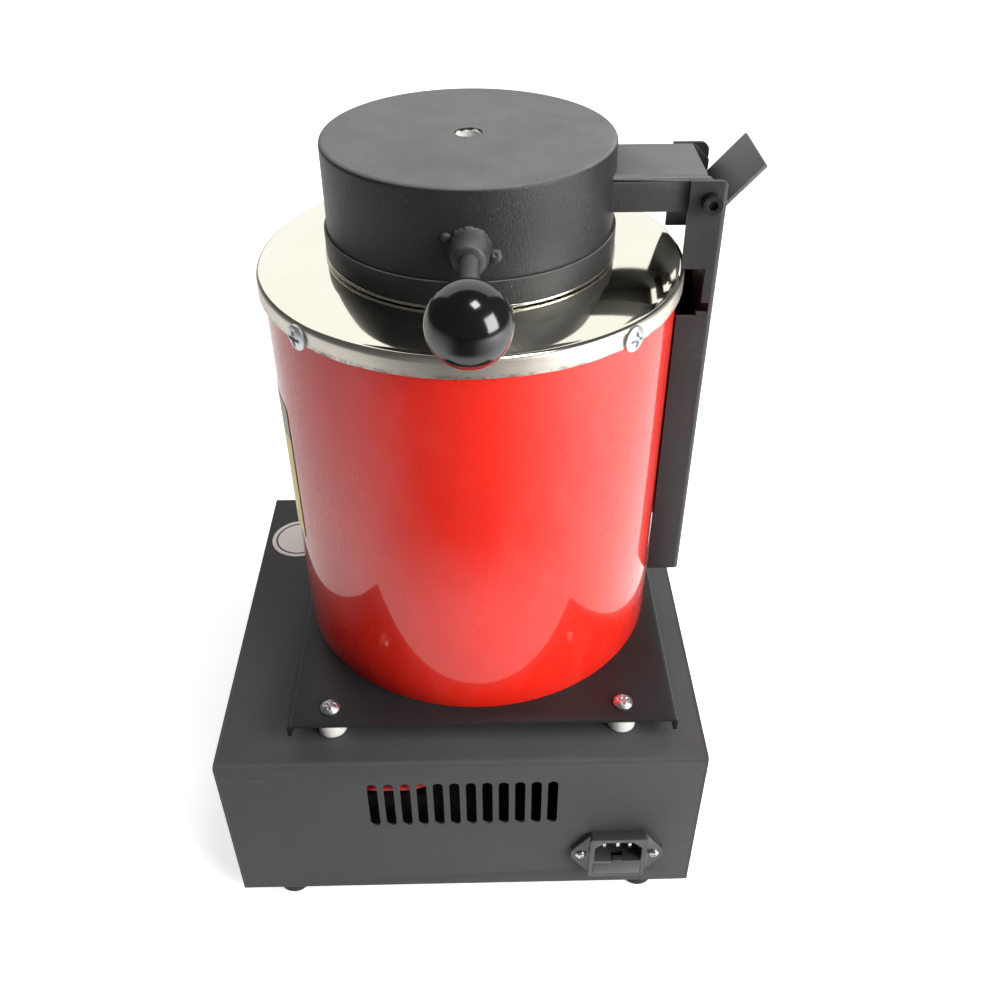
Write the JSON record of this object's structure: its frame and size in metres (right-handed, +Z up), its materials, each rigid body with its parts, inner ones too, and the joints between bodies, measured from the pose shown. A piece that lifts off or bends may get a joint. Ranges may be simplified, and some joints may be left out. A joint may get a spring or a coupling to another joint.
{
  "type": "electric crucible furnace",
  "caption": "Tall round electric melting furnace on a flat control box, with a hinged lid, ball handle, vents and fused mains inlet.",
  "frame": {"origin": "on the bench, under the middle of the whole outline", "axes": "+Z up, -Y towards the operator and the front panel, +Y towards the lid hinge, +X towards the ball handle and the mains inlet"},
  "size_m": [0.243, 0.2684, 0.3901],
  "materials": {
    "box_paint": "black fine-texture powder coat",
    "plate_paint": "black satin powder coat",
    "lid_paint": "dark grey satin heat-resistant paint",
    "handle_steel": "black satin paint",
    "red_paint": "gloss red powder coat",
    "cover_steel": "stainless steel, polished on the dome and brushed on the edge",
    "bright_steel": "plain mill-finish steel",
    "zinc": "bright zinc plate",
    "nickel": "bright nickel plate",
    "black_screw": "black oxide steel",
    "resistance_wire": "dark oxidised resistance alloy",
    "heatsink_aluminium": "extruded aluminium, as drawn",
    "ceramic": "white glazed ceramic",
    "muffle_ceramic": "matte cream refractory ceramic",
    "fibre": "white ceramic fibre, ragged and matte",
    "graphite": "dull grey-black graphite",
    "knob_plastic": "glossy black phenolic resin",
    "controller_plastic": "fine-textured black plastic",
    "display_glass": "dark red-brown tinted window",
    "board_resin": "green glass-resin board",
    "key_plastic": "grey plastic keys",
    "inlet_plastic": "black moulded plastic",
    "rocker_red": "red translucent plastic",
    "fuse_glass": "clear glass tube with nickel caps",
    "relay_white": "off-white moulded plastic",
    "red_silicone": "red silicone insulation",
    "black_wire": "black insulation",
    "foot_rubber": "black matte rubber",
    "label_film": "plain two-tone film, grey head over a yellow field",
    "sticker_film": "plain white film with a thin dark ring"
  },
  "bodies": {
    "furnace": {"box_shell": "box_paint", "front_panel": "box_paint", "rear_panel": "box_paint", "base_plate": "box_paint", "panel_screws": "black_screw", "rubber_feet": "foot_rubber", "foot_screws": "zinc", "controller_case": "controller_plastic", "controller_window": "display_glass", "controller_board": "board_resin", "controller_clamp": "inlet_plastic", "switch_housing": "inlet_plastic", "contact_blades": "nickel", "inlet_body": "inlet_plastic", "inlet_screws": "nickel", "relay_heatsink": "heatsink_aluminium", "relay": "relay_white", "terminal_block": "inlet_plastic", "red_leads": "red_silicone", "mains_leads": "black_wire", "standoffs": "ceramic", "standoff_screws": "zinc", "mounting_plate": "plate_paint", "bottom_disc": "bright_steel", "hex_bolts": "black_screw", "m5_nuts": "zinc", "lead_bushes": "ceramic", "furnace_shell": "red_paint", "base_fibre": "fibre", "wall_fibre": "fibre", "heater_muffle": "muffle_ceramic", "heating_element": "resistance_wire", "element_rods": "resistance_wire", "thermocouple": "ceramic", "crucible_pad": "muffle_ceramic", "crucible": "graphite", "mouth_ring": "muffle_ceramic", "top_cover": "cover_steel", "cover_screws": "zinc", "blank_label": "label_film", "round_sticker": "sticker_film", "hinge_post": "plate_paint", "hinge_bolt": "black_screw", "hinge_washers": "zinc"},
    "lid": {"lid_shell": "lid_paint", "lid_band": "lid_paint", "lid_plate": "cover_steel", "lid_fibre": "fibre", "lid_arm": "lid_paint", "lid_stop": "lid_paint", "handle_boss": "handle_steel", "handle_rod": "handle_steel", "ball_knob": "knob_plastic"},
    "rocker": {"switch_rocker": "rocker_red"},
    "set_key": {"key_set": "key_plastic"},
    "shift_key": {"key_shift": "key_plastic"},
    "down_key": {"key_down": "key_plastic"},
    "up_key": {"key_up": "key_plastic"},
    "drawer": {"fuse_drawer": "inlet_plastic", "fuses": "fuse_glass"}
  },
  "joints": [
    {"name": "lid_hinge", "type": "hinge", "parent": "furnace", "child": "lid", "pos_m": [-0.0215, 0.1106, 0.3679], "axis": [-1, 0, 0], "range_deg": [0, 100]},
    {"name": "power_rocker", "type": "hinge", "parent": "furnace", "child": "rocker", "pos_m": [0.0505, -0.12588, 0.056], "axis": [-1, 0, 0], "range_deg": [0, 20]},
    {"name": "fuse_drawer_slide", "type": "slide", "parent": "furnace", "child": "drawer", "axis": [1, 0, 0], "range_m": [0, 0.018]},
    {"name": "set_key_press", "type": "slide", "parent": "furnace", "child": "set_key", "axis": [0, 1, 0], "range_m": [0, 0.0008], "stiffness_N_per_m": 300, "springref_m": -0.001},
    {"name": "shift_key_press", "type": "slide", "parent": "furnace", "child": "shift_key", "axis": [0, 1, 0], "range_m": [0, 0.0008], "stiffness_N_per_m": 300, "springref_m": -0.001},
    {"name": "down_key_press", "type": "slide", "parent": "furnace", "child": "down_key", "axis": [0, 1, 0], "range_m": [0, 0.0008], "stiffness_N_per_m": 300, "springref_m": -0.001},
    {"name": "up_key_press", "type": "slide", "parent": "furnace", "child": "up_key", "axis": [0, 1, 0], "range_m": [0, 0.0008], "stiffness_N_per_m": 300, "springref_m": -0.001}
  ]
}
